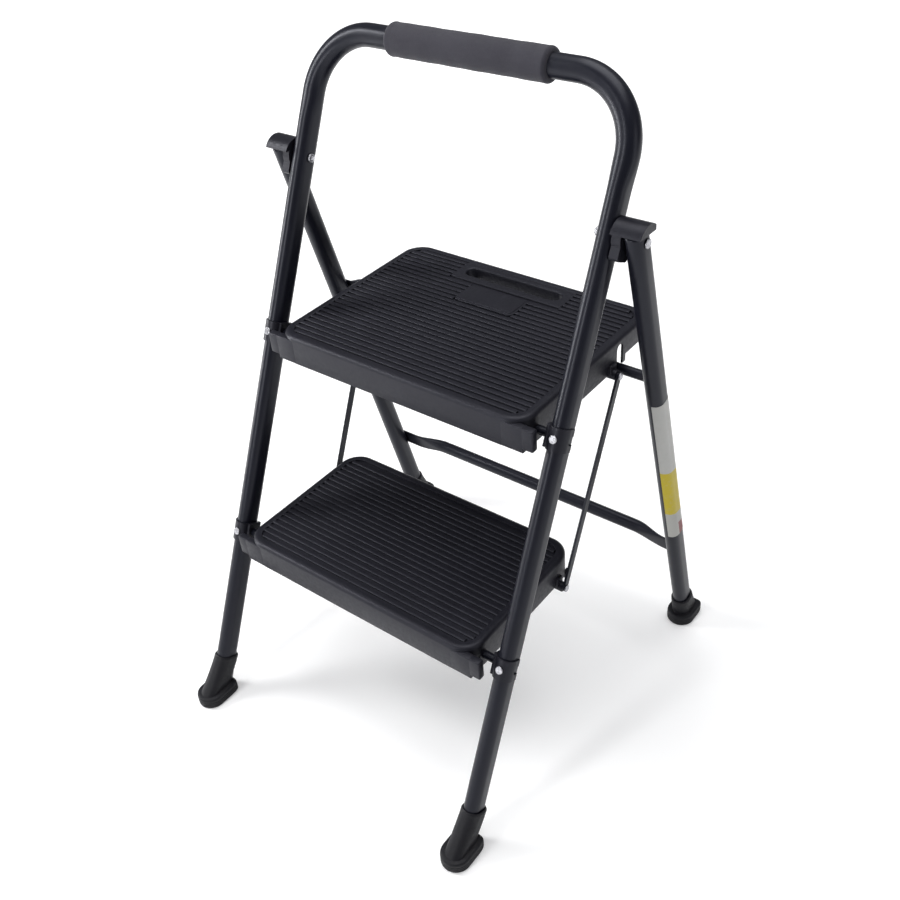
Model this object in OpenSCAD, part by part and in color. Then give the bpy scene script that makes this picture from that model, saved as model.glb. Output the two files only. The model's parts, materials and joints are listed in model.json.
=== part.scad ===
// Folding two-step stool with a handrail hoop.
// Millimetres, +Z up, treads level. The front faces -Y and +X is to the right
// when looking along +Y. The origin is the centre of the footprint, on the floor.

/* [Front frame] */
// Distance between the front legs' centre lines at the floor
leg_spacing = 410; // [400:1:430]
// Distance between the front legs' centre lines at the handrail
rail_spacing = 401; // [398:1:404]
// Backward lean of the front frame from vertical, degrees
front_lean = 25; // [24:0.5:26]
// Length up the leg from the floor to the handrail's centre line
rail_reach = 849; // [830:1:880]
// Centre-line radius of the handrail's two bends
rail_bend_r = 70; // [60:1:80]
// Outer diameter of the round handrail tube
rail_tube_d = 25; // [24:0.5:26]
// Width of the flattened leg tube, side to side
leg_tube_w = 20; // [19:0.5:20.5]
// Depth of the flattened leg tube, front to back
leg_tube_depth = 27.5; // [26:0.5:28]
// Wall thickness of every steel tube
tube_wall = 1.5; // [1.2:0.1:2]

/* [Rear frame] */
// Distance between the rear legs' centre lines at the floor
rear_spacing = 475; // [472:1:480]
// Distance between the rear legs' centre lines at the hinge
rear_hinge_spacing = 463; // [462:1:466]
// Width of the flattened rear leg tube, side to side
rear_tube_w = 20; // [19:0.5:20.5]
// Depth of the flattened rear leg tube, front to back
rear_tube_depth = 26; // [25:0.5:26.5]
// Backward lean of the rear frame from vertical, degrees
rear_lean = 15; // [14:0.5:16]
// Length up the front leg from the floor to the hinge
hinge_reach = 709; // [700:1:715]
// Distance down the rear leg from the hinge to the upper crossbar
upper_bar_drop = 218; // [217:0.5:219]
// Distance down the rear leg from the hinge to the lower crossbar
lower_bar_drop = 531; // [510:1:540]
// Outer diameter of the upper crossbar
upper_bar_d = 12; // [11:0.5:12]
// Outer diameter of the lower crossbar
lower_bar_d = 17; // [16:0.5:18]

/* [Steps] */
// Length up the front leg from the floor to the lower step's pivot
lower_pivot_reach = 241; // [238:1:246]
// Distance between the two steps' pivots, along the front leg
step_pitch = 262; // [258:1:264]
// Diameter of the pivot rods
rod_d = 10; // [9:0.5:12]
// Height of a tread's top face above its pivot
top_over_pivot = 21; // [20:0.5:23]
// Distance from a tread's front edge back to its pivot
front_to_pivot = 27; // [26:0.5:30]
// Front-to-back depth of the top tread
top_tread_depth = 264; // [255:1:270]
// Front-to-back depth of the lower tread
lower_tread_depth = 209; // [200:1:215]
// Width of both treads across their side skirts
tread_w = 348; // [344:1:350]
// Corner radius of both treads
tread_corner_r = 28; // [20:1:32]
// Height of a tread from its top face to its skirt's lower edge
tread_h = 36; // [35:0.5:37]
// Spacing of the anti-slip ribs
rib_pitch = 8.6; // [8:0.1:10]

/* [Struts] */
// Distance from a tread's pivot back to its strut pivot
strut_back = 147; // [145:0.5:147.5]
// Distance of a strut's pivot below its tread's pivot
strut_below = 15; // [14:0.5:15]

/* [Grip and feet] */
// Outer diameter of the foam grip
grip_d = 35.5; // [33:0.5:38]
// Length of the foam grip
grip_len = 202; // [180:1:220]
// Width of a foot's sole
foot_w = 37; // [34:1:38]
// Height of a foot's sole block
sole_h = 16; // [12:1:18]

/* [Hidden] */
$fn = 64;
cut = 1;                 // overshoot of a cutting solid past a face
gap = 0.3;               // clearance between parts that move past each other
pin_gap = 0.06;          // radial clearance of a pin in its bore
loose_gap = 0.16;        // the same for a strut's lower rivet, which carries no joint
touch = 0.05;            // clearance of a sleeve on the tube that it grips
slack = 0.25;            // clearance between fixed parts that are not parallel
lap = 0.5;               // how far joined solids of one part run into each other
far = 1000;              // reach of a trimming solid past the whole stool

// Leg splay, from the difference in spacing at the two ends
rail_straight = rail_reach - rail_bend_r;
front_splay = atan((leg_spacing - rail_spacing) / 2 / rail_straight);
rear_length = hinge_reach * cos(front_lean) / cos(rear_lean);
rear_splay = atan((rear_spacing - rear_hinge_spacing) / 2 / rear_length);

// Side view: the hinge, the rear feet and the two step pivots, as [y, z]
// measured from the point where the front legs' centre lines meet the floor
function up_front(s) = [s * sin(front_lean), s * cos(front_lean)];
hinge = up_front(hinge_reach);
rear_foot_y = hinge[0] + hinge[1] * tan(rear_lean);
lower_pivot = up_front(lower_pivot_reach);
upper_pivot = up_front(lower_pivot_reach + step_pitch);

// Feet and footprint
foot_toe = 32;           // reach of a front sole ahead of its leg
rear_toe = 28;           // and of a rear sole
foot_heel = 20;          // reach of a sole behind its leg
foot_collar = 60;        // length of leg that a front foot covers
rear_collar = 48;        // and a rear foot
foot_step = 4.5;         // how far the boot stands in from its sole's edge
foot_wall = 3;           // wall of the boot's collar
foot_heel_block = 13;    // length of the heel's square part
y_shift = (foot_toe - foot_heel - rear_foot_y) / 2;

// Crossbars: flattened ends lie on the rear faces of the rear legs
bar_flat_t = 3;          // thickness of a flattened end
bar_flat_out = 3;        // reach of a flattened end outward of its leg's middle
upper_flat_in = 8;       // reach of the upper bar's flattened end inward of it
upper_change = 12;       // length over which the upper bar goes from round to flat
upper_flat_w = 16;
lower_flat_in = 25;
lower_change = 50;
lower_flat_w = 25;
bar_rivet_d = 4;
bar_head_d = 7;
bar_head_t = 1.2;
bar_rivet_in = 2;        // a bar rivet's place, inward of its leg's middle
bar_back = 22.5;         // a bar's centre line behind the leg's middle plane
function on_rear(drop, back) =
    [hinge[0] + drop * sin(rear_lean) + back * cos(rear_lean),
     hinge[1] - drop * cos(rear_lean) + back * sin(rear_lean)];
upper_bar = on_rear(upper_bar_drop, bar_back);

// Step hardware
strut_x = 183.5;         // middle plane of a strut
strut_t = 3;
strut_w = 8;
strut_rivet_d = 5;
strut_lug_r = 6;         // boss around a strut's rivet
clip_h = 25;             // height of a saddle clip along the leg
clip_t = 2;
clip_cheek = 4;          // thickness of the clip's cheek that holds the rod
clip_rivet_d = 5;
clip_back = 3;           // reach of the clip's sides behind the leg's middle
cheek_front = 9;         // reach of its cheek ahead of the leg's middle
cheek_back = 10;         // and behind it
rivet_head_d = 9;
rivet_head_t = 1.6;
shank_in = 7;            // how far a rivet's shank reaches in from its head
bolt_d = 6;
bolt_end = 5;            // length of bolt past the front leg's inner face
rod_wall = 1.5;
front_x_hinge = front_x(hinge_reach);
rear_x_hinge = rear_hinge_spacing / 2;

// Tread
plate_t = 4.2;
skirt_t = 2.6;
edge_in = 6;             // width of the sloping band around the top face
edge_down = 5;           // and its height
web_t = 2.4;
rib_groove_w = 3.4;
rib_groove_h = 2.2;
rib_margin = 12;         // plain border around the ribs, at the sides
rib_ends = 10;           // and at the front and rear
rib_front_margin = 12.5; // distance from the front edge to the first groove
boss_wall = 3.5;         // wall of the boss around a pivot rod
cap_in = 6;              // depth of the skirt's lug behind its outer face
tab_back = 19;           // the lower tread's rear tab, behind its strut pivot
tab_side = 9;            // its length and height
wing_w = 12;
wing_t = 9;
wing_h = 26;
slot_len = 137;
slot_w = 19;
slot_back = 29;          // slot centre, ahead of the top tread's rear edge
slot_wall = 2.6;
slot_deep = 24;          // depth of the wall around the hand slot
smooth_half = 80;        // half width of the plain area around the slot
smooth_ahead = 21;       // its reach ahead of the slot's centre
pad_len = 78;
pad_w = 33;
pad_back = 75;           // pad centre, ahead of the top tread's rear edge
pad_border = 3;          // plain border around the pad
pad_rise = 0.6;          // height of the pad above the ribs
notch_w = 13;            // side-skirt notch that clears the upper crossbar
notch_top = 13;          // its top above the tread's pivot
web_pitch = 50;          // spacing of the webs under a tread
web_edge = 20;           // how near the rear edge the last cross web may come
notch_in = 2;            // how far the notch reaches behind the skirt's inner face
hook_t = 6;              // lip left behind the notch
rear_lift = 9;           // how much shallower the skirt is behind the lip

function front_x(s) = (leg_spacing - s / rail_straight * (leg_spacing - rail_spacing)) / 2;
function flip(side) = side < 0 ? 1 : 0;

// ---------------------------------------------------------------- placing

// From the side-view coordinates above to the part's own origin
module placed() {
    translate([0, y_shift, 0]) children();
}

// A point s up a front leg; local +Z runs up the leg and +Y out of its back
module on_front_leg(side, s) {
    p = up_front(s);
    translate([side * front_x(s), p[0], p[1]])
        rotate([-front_lean, 0, 0])
            rotate([0, -side * front_splay, 0])
                children();
}

// A point down a rear leg; local +Z runs up the leg and +Y out of its back
module on_rear_leg(side, drop) {
    p = on_rear(drop, 0);
    translate([side * (rear_x_hinge + drop * tan(rear_splay)), p[0], p[1]])
        rotate([rear_lean, 0, 0])
            rotate([0, -side * rear_splay, 0])
                children();
}

// A cylinder along X from x0 to x1, through the side-view point p
module x_rod(p, d, x0, x1) {
    translate([x0, p[0], p[1]]) rotate([0, 90, 0]) cylinder(d = d, h = x1 - x0);
}

// ---------------------------------------------------------------- sections

// Flattened tube: two half rounds joined by flats that face the sides
module stadium(w, depth) {
    flat = depth - w;
    square([w, flat], center = true);
    for (y = [-flat / 2, flat / 2]) translate([0, y]) circle(d = w);
}

module rounded_rect(x0, x1, y0, y1, r) {
    translate([x0, y0 + r]) square([x1 - x0, y1 - y0 - 2 * r]);
    translate([x0 + r, y0]) square([x1 - x0 - 2 * r, y1 - y0]);
    for (x = [x0 + r, x1 - r], y = [y0 + r, y1 - r]) translate([x, y]) circle(r = r);
}

// ---------------------------------------------------------------- front frame

rail_x = rail_spacing / 2;
shape_change = 30;       // length over which the leg goes from flat to round
flat_top = rail_straight - shape_change - 2;

// The hoop and both legs at one offset inside the outer surface
module front_tube(inset) {
    rail_d = rail_tube_d - 2 * inset;
    for (side = [-1, 1])
        on_front_leg(side, 0)
            linear_extrude(flat_top)
                stadium(leg_tube_w - 2 * inset, leg_tube_depth - 2 * inset);
    rotate([-front_lean, 0, 0]) {
        for (side = [-1, 1])
            translate([side * (rail_x - rail_bend_r), 0, rail_straight])
                mirror([flip(side), 0, 0])
                    rotate([90, 0, 0])
                        rotate_extrude(angle = 90, $fn = 96)
                            translate([rail_bend_r, 0]) circle(d = rail_d);
        translate([-(rail_x - rail_bend_r), 0, rail_reach])
            rotate([0, 90, 0]) cylinder(d = rail_d, h = 2 * (rail_x - rail_bend_r));
    }
}

module front_frame() {
    color("#18181c") placed() difference() {
        union() {
            front_tube(0);
            for (side = [-1, 1]) on_front_leg(side, flat_top - lap) hull() {
                linear_extrude(1) stadium(leg_tube_w - 0.1, leg_tube_depth - 0.1, $fn = 32);
                translate([0, 0, shape_change + 1])
                    cylinder(d = rail_tube_d - 0.1, h = 2, $fn = 32);
            }
        }
        front_tube(tube_wall);
        for (side = [-1, 1]) on_front_leg(side, flat_top - cut)
            cylinder(d = leg_tube_w - 2 * tube_wall, h = shape_change + 4);
        below_floor();
        for (side = [-1, 1]) {
            x_rod(hinge, bolt_d + 2 * pin_gap, side * front_x_hinge - leg_tube_w,
                  side * front_x_hinge + leg_tube_w);
            clip_rivet_bores(side, lower_pivot_reach);
            clip_rivet_bores(side, lower_pivot_reach + step_pitch);
        }
    }
}

// Everything under the feet's inner floor, which trims the leg ends level
module below_floor() {
    translate([-far / 2, -far / 2, -far]) cube([far, 2 * far, far + sole_h / 2]);
}

module clip_rivet_bores(side, s) {
    on_front_leg(side, s)
        rotate([90, 0, 0])
            cylinder(d = clip_rivet_d + 2 * pin_gap, h = leg_tube_depth);
}

module foam_grip() {
    edge = 4;
    color("#303036") placed() rotate([-front_lean, 0, 0])
        translate([-grip_len / 2, 0, rail_reach]) rotate([0, 90, 0])
            rotate_extrude($fn = 96) difference() {
                union() {
                    square([grip_d / 2 - edge, grip_len]);
                    translate([0, edge]) square([grip_d / 2, grip_len - 2 * edge]);
                    for (z = [edge, grip_len - edge])
                        translate([grip_d / 2 - edge, z]) circle(r = edge);
                }
                translate([-cut, -cut])
                    square([rail_tube_d / 2 + slack + cut, grip_len + 2 * cut]);
            }
}

// ---------------------------------------------------------------- feet

// Sole with a round toe and a square heel, and the tapered boot above it; the
// toe points to -Y, and the leg leans back by the angle given
module foot_shell(lean, toe, collar, tube_w, tube_depth) {
    r = foot_w / 2;
    linear_extrude(sole_h) {
        translate([0, r - toe]) circle(r = r);
        translate([-r, r - toe]) square([foot_w, toe + foot_heel - r]);
    }
    hull() {
        translate([0, r - toe, sole_h - 1])
            cylinder(r = r - foot_step, h = 1, $fn = 32);
        translate([foot_step - r, foot_heel - foot_heel_block, sole_h - 1])
            cube([foot_w - 2 * foot_step, foot_heel_block - foot_step, 1]);
        rotate([-lean, 0, 0]) translate([0, 0, collar - 1]) linear_extrude(1)
            stadium(tube_w + 2 * foot_wall, tube_depth + 2 * foot_wall - 1, $fn = 32);
    }
}

// What a foot leaves clear for its leg: everything above its inner floor
module above_floor() {
    translate([-far / 2, -far / 2, sole_h / 2 - touch]) cube([far, 2 * far, far]);
}

module front_foot(side) {
    color("#141417") placed() difference() {
        translate([side * front_x(0), 0, 0])
            foot_shell(front_lean, foot_toe, foot_collar, leg_tube_w, leg_tube_depth);
        intersection() {
            on_front_leg(side, 0) linear_extrude(foot_collar + 20)
                stadium(leg_tube_w + 2 * touch, leg_tube_depth + 2 * touch);
            above_floor();
        }
    }
}

module rear_foot(side) {
    color("#141417") placed() difference() {
        translate([side * rear_spacing / 2, rear_foot_y, 0])
            foot_shell(-rear_lean, rear_toe, rear_collar, rear_tube_w, rear_tube_depth);
        intersection() {
            on_rear_leg(side, rear_length) translate([0, 0, -5])
                linear_extrude(foot_collar + 30)
                    stadium(rear_tube_w + 2 * touch, rear_tube_depth + 2 * touch);
            above_floor();
        }
    }
}

// ---------------------------------------------------------------- hinges

hood_r = 19.5;           // outer radius of the cap over the rear leg's top
hood_wall = 2;
hood_low = 9;            // lower edge of the cap, above the hinge
hood_back = 13;          // rear edge of the cap, behind the hinge
leg_top = 10;            // length of rear leg above the hinge
web_in = front_x_hinge + leg_tube_w / 2 + slack;
web_out = rear_x_hinge - rear_tube_w / 2 - gap;
hood_in = rear_x_hinge + rear_tube_w / 2 + gap;
web_r = 14;              // radius of the web below the cap
tab_drop = 23;           // reach of the stop tab below the hinge
tab_w = 21;
tab_corner = 4;

// Side view of the cap over the rear leg's top end, measured from the hinge
module cap_outline() {
    intersection() {
        circle(r = hood_r);
        translate([-2 * hood_r, hood_low]) square([2 * hood_r + hood_back, 2 * hood_r]);
    }
}

// A side view about the hinge, given thickness from x0 to x1
module across_hinge(x0, x1) {
    translate([x0, hinge[0], hinge[1]]) rotate([90, 0, 90]) linear_extrude(x1 - x0) children();
}

// Web between the two legs with a stop tab below, and a cap over the rear leg's
// top end, closed on its outer side and open below and behind
module hinge_block(side) {
    color("#1c1c20") placed() mirror([flip(side), 0, 0]) difference() {
        union() {
            across_hinge(web_in, web_out) {
                circle(r = web_r);
                cap_outline();
                rotate(-front_lean)
                    rounded_rect(-tab_w / 2, tab_w / 2, -tab_drop, tab_corner, tab_corner);
            }
            across_hinge(web_out - lap, hood_in + lap) difference() {
                cap_outline();
                circle(r = hood_r - hood_wall);
            }
            across_hinge(hood_in, hood_in + hood_wall) cap_outline();
        }
        x_rod(hinge, bolt_d + 2 * pin_gap, web_in - cut, web_out + cut);
    }
}

bolt_head_t = 2.2;
bolt_head_d = 10;
nut_t = 3;

module hinge_bolts() {
    outer = rear_x_hinge + rear_tube_w / 2;
    color("#c8c8cc") placed() for (side = [0, 1]) mirror([side, 0, 0]) {
        x_rod(hinge, bolt_d, front_x_hinge - leg_tube_w / 2 - bolt_end, outer + gap + lap);
        x_rod(hinge, bolt_head_d, outer + gap, outer + gap + bolt_head_t);
    }
}

module hinge_nuts() {
    inner = front_x_hinge - leg_tube_w / 2;
    color("#c8c8cc") placed() for (side = [0, 1]) mirror([side, 0, 0])
        difference() {
            x_rod(hinge, bolt_head_d, inner - nut_t - touch, inner - touch);
            x_rod(hinge, bolt_d + 2 * pin_gap, inner - 2 * nut_t, inner + cut);
        }
}

// ---------------------------------------------------------------- step clips and rods

// Saddle around the front of the leg, with a cheek that holds the pivot rod
module clip(side, s) {
    p = up_front(s);
    outer_w = leg_tube_w + 2 * clip_t;
    color("#1c1c20") placed() difference() {
        on_front_leg(side, s) difference() {
            translate([0, 0, -clip_h / 2]) union() {
                intersection() {
                    linear_extrude(clip_h) stadium(outer_w, leg_tube_depth + 2 * clip_t);
                    translate([-outer_w, -outer_w, 0])
                        cube([2 * outer_w, outer_w + clip_back, clip_h]);
                }
                mirror([flip(-side), 0, 0])
                    translate([leg_tube_w / 2, -cheek_front, 0])
                        cube([clip_cheek, cheek_front + cheek_back, clip_h]);
            }
            translate([0, 0, -clip_h]) linear_extrude(2 * clip_h)
                stadium(leg_tube_w + 2 * touch, leg_tube_depth + 2 * touch);
        }
        x_rod(p, rod_d + 2 * pin_gap, side * front_x(s) - outer_w, side * front_x(s) + outer_w);
        clip_rivet_bores(side, s);
    }
}

// Shank from inside the tube to the clip's face, and a pan head in front of it
module clip_rivets() {
    face = leg_tube_depth / 2 + clip_t;
    color("#c8c8cc") placed()
        for (side = [-1, 1], s = [lower_pivot_reach, lower_pivot_reach + step_pitch])
            on_front_leg(side, s) rotate([90, 0, 0]) {
                translate([0, 0, face - shank_in])
                    cylinder(d = clip_rivet_d, h = shank_in + lap);
                translate([0, 0, face]) cylinder(d = rivet_head_d, h = rivet_head_t);
            }
}

module pivot_rod(p, s) {
    half = front_x(s) - leg_tube_w / 2 - touch;
    color("#202024") placed() difference() {
        x_rod(p, rod_d, -half, half);
        x_rod(p, rod_d - 2 * rod_wall, -half - cut, half + cut);
    }
}

// ---------------------------------------------------------------- treads

// Rounded slab whose top edge slopes in by edge_in over the last edge_down
module soft_slab(x0, x1, y0, y1, z0, z1, r) {
    ledge = z1 - edge_down;
    translate([0, 0, z0]) linear_extrude(ledge - z0) rounded_rect(x0, x1, y0, y1, r);
    for (x = [x0 + r, x1 - r], y = [y0 + r, y1 - r]) translate([x, y, ledge])
        cylinder(r1 = r, r2 = r - edge_in, h = edge_down);
    translate([0, y1 - r, 0]) rotate([90, 0, 0]) linear_extrude(y1 - y0 - 2 * r)
        polygon([[x0, ledge], [x1, ledge], [x1 - edge_in, z1], [x0 + edge_in, z1]]);
    translate([x0 + r, 0, 0]) rotate([90, 0, 90]) linear_extrude(x1 - x0 - 2 * r)
        polygon([[y0, ledge], [y1, ledge], [y1 - edge_in, z1], [y0 + edge_in, z1]]);
}

// A tread in its own frame: the pivot is the origin, +Y runs back, +Z up
module tread(depth, upper) {
    front = -front_to_pivot;
    rear = depth - front_to_pivot;
    half = tread_w / 2;
    skirt_z = top_over_pivot - tread_h;
    bar = upper_bar - upper_pivot;
    web_z = upper ? bar[1] + upper_bar_d / 2 + gap : skirt_z + 4;
    difference() {
        union() {
            difference() {
                soft_slab(-half, half, front, rear, skirt_z, top_over_pivot, tread_corner_r);
                translate([0, 0, skirt_z - cut])
                    linear_extrude(tread_h - edge_down - plate_t + cut)
                        rounded_rect(-half + skirt_t, half - skirt_t, front + skirt_t,
                                     rear - skirt_t, tread_corner_r - skirt_t);
                translate([0, 0, skirt_z])
                    linear_extrude(tread_h - plate_t)
                        rounded_rect(-half + edge_in + skirt_t, half - edge_in - skirt_t,
                                     front + edge_in + skirt_t, rear - edge_in - skirt_t,
                                     tread_corner_r - edge_in - skirt_t);
            }
            tread_webs(front, rear, half, web_z);
            x_rod([0, 0], rod_d + 2 * boss_wall, -half + 1, half - 1);
            if (upper) hand_slot(rear, slot_wall, top_over_pivot - slot_deep, slot_deep - 1);
            for (side = [0, 1]) mirror([side, 0, 0]) {
                translate([half - skirt_t, front, top_over_pivot - edge_down - wing_h])
                    cube([skirt_t + wing_w, wing_t, wing_h]);
                translate([half - tread_corner_r, front, skirt_z])
                    cube([tread_corner_r, wing_t, tread_h - edge_down]);
                x_rod([strut_back, -strut_below], 2 * strut_lug_r, half - cap_in,
                      strut_x - strut_t / 2 - gap);
                translate([half - cap_in, strut_back - strut_lug_r, -strut_below])
                    cube([1.5 * cap_in, 2 * strut_lug_r, 2 * strut_lug_r]);
                if (!upper) translate([half - cap_in, strut_back + tab_back, skirt_z - cap_in])
                    cube([cap_in - 1, tab_side, tab_side]);
            }
        }
        x_rod([0, 0], rod_d + 2 * pin_gap, -half - cut, half + cut);
        for (side = [0, 1]) mirror([side, 0, 0])
            x_rod([strut_back, -strut_below], strut_rivet_d + 2 * pin_gap,
                  half - cap_in - 2 * cut, strut_x + strut_t);
        tread_grooves(front, rear, half, upper);
        if (upper) {
            bar_notch(half, bar, rear, skirt_z);
            hand_slot(rear, 0, skirt_z - cut, 2 * tread_h);
        }
    }
    if (upper) grip_pad(rear);
}

// Stiffening webs under the plate, running both ways; the top tread's long
// webs are what rests on the upper crossbar
module tread_webs(front, rear, half, web_z) {
    top = top_over_pivot - plate_t + lap;
    for (x = [-2.5 : 1 : 2.5] * web_pitch)
        translate([x - web_t / 2, front + 1, web_z]) cube([web_t, rear - front - 2, top - web_z]);
    for (y = [web_pitch : web_pitch : rear - web_edge])
        translate([-half + 1, y - web_t / 2, web_z + 8])
            cube([2 * half - 2, web_t, top - web_z - 8]);
}

// Straight grooves across the tread; what stands between them are the ribs
module tread_grooves(front, rear, half, upper) {
    first = front + rib_front_margin;
    count = floor((rear - rib_margin - first) / rib_pitch);
    depth = 2 * rib_groove_h;
    difference() {
        intersection() {
            for (i = [0 : count])
                translate([-half, first + i * rib_pitch - rib_groove_w / 2,
                           top_over_pivot - rib_groove_h])
                    cube([2 * half, rib_groove_w, depth]);
            translate([0, 0, top_over_pivot - depth]) linear_extrude(2 * depth)
                rounded_rect(-half + rib_margin, half - rib_margin, front + rib_ends,
                             rear - rib_ends, tread_corner_r - rib_margin);
        }
        if (upper) {
            translate([-smooth_half, rear - slot_back - smooth_ahead, top_over_pivot - depth])
                cube([2 * smooth_half, far, 2 * depth]);
            translate([-pad_len / 2 - pad_border, rear - pad_back - pad_w / 2 - pad_border,
                       top_over_pivot - depth])
                cube([pad_len + 2 * pad_border, pad_w + 2 * pad_border, 2 * depth]);
        }
    }
}

// Notch through both side skirts over the upper crossbar, and the shallower
// skirt behind the lip that hooks behind the bar
module bar_notch(half, bar, rear, skirt_z) {
    r = notch_w / 2;
    for (side = [0, 1]) mirror([side, 0, 0]) {
        x_rod([bar[0], notch_top - r], notch_w, half - skirt_t - notch_in, half + cut);
        translate([half - skirt_t - notch_in, bar[0] - r, skirt_z - cut])
            cube([skirt_t + notch_in + cut, notch_w, notch_top - r - skirt_z + cut]);
    }
    translate([-half - cut, bar[0] + r + hook_t, skirt_z - cut])
        cube([2 * half + 2 * cut, rear, rear_lift + cut]);
}

// Round-ended slot, grown by the wall given
module hand_slot(rear, wall, z, height) {
    w = slot_w + 2 * wall;
    x = (slot_len - slot_w) / 2;
    translate([0, rear - slot_back, z]) linear_extrude(height) {
        square([2 * x, w], center = true);
        for (side = [-1, 1]) translate([side * x, 0]) circle(d = w);
    }
}

// Plain raised pad in front of the slot, with no lettering
module grip_pad(rear) {
    translate([-pad_len / 2, rear - pad_back - pad_w / 2, top_over_pivot - 1])
        cube([pad_len, pad_w, 1 + pad_rise]);
}

module top_tread() {
    color("#1b1b20") placed() translate([0, upper_pivot[0], upper_pivot[1]])
        tread(top_tread_depth, true);
}

module lower_tread() {
    color("#1b1b20") placed() translate([0, lower_pivot[0], lower_pivot[1]])
        tread(lower_tread_depth, false);
}

// ---------------------------------------------------------------- struts

module strut(side) {
    top = [upper_pivot[0] + strut_back, upper_pivot[1] - strut_below];
    bottom = top - up_front(step_pitch);
    x0 = strut_x - strut_t / 2;
    x1 = strut_x + strut_t / 2;
    color("#1a1a1e") placed() mirror([flip(side), 0, 0]) difference() {
        union() {
            x_rod(top, strut_w, x0, x1);
            x_rod(bottom, strut_w, x0, x1);
            translate([x0, bottom[0], bottom[1]]) rotate([-front_lean, 0, 0])
                translate([0, -strut_w / 2, 0]) cube([strut_t, strut_w, step_pitch]);
        }
        x_rod(top, strut_rivet_d + 2 * pin_gap, x0 - cut, x1 + cut);
        x_rod(bottom, strut_rivet_d + 2 * loose_gap, x0 - cut, x1 + cut);
    }
}

module strut_rivets(pivot) {
    p = [pivot[0] + strut_back, pivot[1] - strut_below];
    face = strut_x + strut_t / 2 + gap;
    color("#c8c8cc") placed() for (side = [0, 1]) mirror([side, 0, 0]) {
        x_rod(p, strut_rivet_d, tread_w / 2 - cap_in, face + lap);
        x_rod(p, rivet_head_d, face, face + rivet_head_t);
    }
}

// ---------------------------------------------------------------- rear frame

module rear_leg(side) {
    inner_w = rear_tube_w - 2 * tube_wall;
    inner_depth = rear_tube_depth - 2 * tube_wall;
    color("#1a1a1e") placed() difference() {
        on_rear_leg(side, rear_length) difference() {
            linear_extrude(rear_length + leg_top) stadium(rear_tube_w, rear_tube_depth);
            translate([0, 0, -cut]) linear_extrude(rear_length + leg_top - tube_wall + cut)
                stadium(inner_w, inner_depth);
        }
        below_floor();
        x_rod(hinge, bolt_d + 2 * pin_gap, side * rear_x_hinge - rear_tube_w,
              side * rear_x_hinge + rear_tube_w);
        for (drop = [upper_bar_drop, lower_bar_drop]) crossbar_bore(side, drop);
    }
}

// Along the axis of a crossbar's rivet, from the middle of its leg
module at_bar_rivet(side, drop) {
    on_rear_leg(side, drop) translate([-side * bar_rivet_in, 0, 0]) rotate([-90, 0, 0])
        children();
}

module crossbar_bore(side, drop) {
    at_bar_rivet(side, drop) cylinder(d = bar_rivet_d + 2 * pin_gap, h = 2 * rear_tube_depth);
}

// Round tube whose ends are pressed flat against the legs' rear faces; flat_in is
// the reach of a flat end inward of its leg's middle, and change the length over
// which the round tube becomes flat
module crossbar(drop, d, flat_w, flat_in, change) {
    leg_x = rear_x_hinge + drop * tan(rear_splay);
    flat_x = leg_x - flat_in;
    round_half = flat_x - change;
    flat_y = rear_tube_depth / 2 + touch;
    p = on_rear(drop, 0);
    color("#1a1a1e") placed() difference() {
        translate([0, p[0], p[1]]) rotate([rear_lean, 0, 0]) {
            difference() {
                x_rod([bar_back, 0], d, -round_half, round_half);
                x_rod([bar_back, 0], d - 2 * tube_wall, -round_half + d, round_half - d);
            }
            for (side = [0, 1]) mirror([side, 0, 0]) {
                translate([flat_x - 1, flat_y, -flat_w / 2])
                    cube([flat_in + bar_flat_out + 1, bar_flat_t, flat_w]);
                hull() {
                    translate([round_half - 1, bar_back, 0]) rotate([0, 90, 0])
                        cylinder(d = d - 0.1, h = 1, $fn = 32);
                    translate([flat_x - 1, flat_y, 0.1 - flat_w / 2])
                        cube([1, bar_flat_t, flat_w - 0.2]);
                }
            }
        }
        for (side = [-1, 1]) crossbar_bore(side, drop);
    }
}

module crossbar_rivets() {
    face = rear_tube_depth / 2 + touch + bar_flat_t;
    color("#26262a") placed()
        for (side = [-1, 1], drop = [upper_bar_drop, lower_bar_drop])
            at_bar_rivet(side, drop) {
                translate([0, 0, face - shank_in]) cylinder(d = bar_rivet_d, h = shank_in + lap);
                translate([0, 0, face + touch]) cylinder(d = bar_head_d, h = bar_head_t);
            }
}

label_top = 220;         // distance down the right rear leg to the label
label_len = 244;
label_back = 9.5;        // its reach behind the leg's middle
label_t = 0.3;

// Plain sticker wrapped around the front and outer side of the right rear leg
module blank_label() {
    color("#d8d4c4") placed() on_rear_leg(1, label_top + label_len) intersection() {
        linear_extrude(label_len) difference() {
            stadium(rear_tube_w + 2 * label_t + touch, rear_tube_depth + 2 * label_t + touch);
            stadium(rear_tube_w + touch, rear_tube_depth + touch);
        }
        translate([0, -rear_tube_depth, -cut])
            cube([rear_tube_w, rear_tube_depth + label_back, label_len + 2 * cut]);
    }
}

// ---------------------------------------------------------------- parts

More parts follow.
